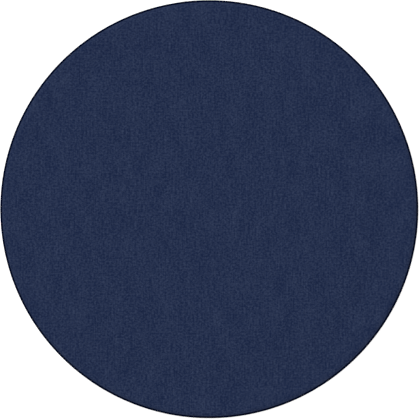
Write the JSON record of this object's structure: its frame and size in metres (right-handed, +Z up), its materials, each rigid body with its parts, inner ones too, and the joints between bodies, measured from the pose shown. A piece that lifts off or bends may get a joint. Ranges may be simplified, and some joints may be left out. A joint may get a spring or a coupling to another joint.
{
  "type": "round seat cushion",
  "caption": "Round boxed seat cushion: woven cover with piped edges, a zip round the back, layered foam filling and a non-slip base.",
  "frame": {"origin": "centre of the cushion's round base, on the surface it lies on", "axes": "+Z up through the cushion to its seat face, +Y to the back where the zip is, -Y to the front"},
  "size_m": [0.4, 0.4, 0.05],
  "materials": {
    "navy_cloth": "matte",
    "base_cloth": "matte",
    "piping_cloth": "matte",
    "cotton_cord": "matte",
    "wadding": "matte",
    "comfort_foam": "matte",
    "support_foam": "matte",
    "zip_tape": "matte",
    "zip_nylon": "satin",
    "zip_metal": "satin",
    "grip_rubber": "satin"
  },
  "bodies": {
    "cushion": {"top_panel": "navy_cloth", "front_band": "navy_cloth", "zip_band_upper": "navy_cloth", "zip_band_lower": "navy_cloth", "zip_end_tab_right": "navy_cloth", "zip_end_tab_left": "navy_cloth", "base_panel": "base_cloth", "grip_dots": "grip_rubber", "top_piping_cover": "piping_cloth", "base_piping_cover": "piping_cloth", "top_piping_cord": "cotton_cord", "base_piping_cord": "cotton_cord", "top_wadding": "wadding", "base_wadding": "wadding", "side_wadding": "wadding", "comfort_foam": "comfort_foam", "support_foam": "support_foam", "zip_tape_upper": "zip_tape", "zip_tape_lower": "zip_tape", "zip_coil_upper": "zip_nylon", "zip_coil_lower": "zip_nylon"},
    "zip_slider": {"zip_slider_body": "zip_metal"},
    "zip_pull": {"zip_pull": "zip_metal"}
  },
  "joints": [
    {"name": "slider_travel", "type": "hinge", "parent": "cushion", "child": "zip_slider", "pos_m": [0, 0, 0.02555], "axis": [0, 0, 1], "range_deg": [0, 153.8]},
    {"name": "pull_swing", "type": "hinge", "parent": "zip_slider", "child": "zip_pull", "pos_m": [0.19309, 0.04482, 0.02555], "axis": [0, 0, -1], "range_deg": [0, 180]}
  ]
}
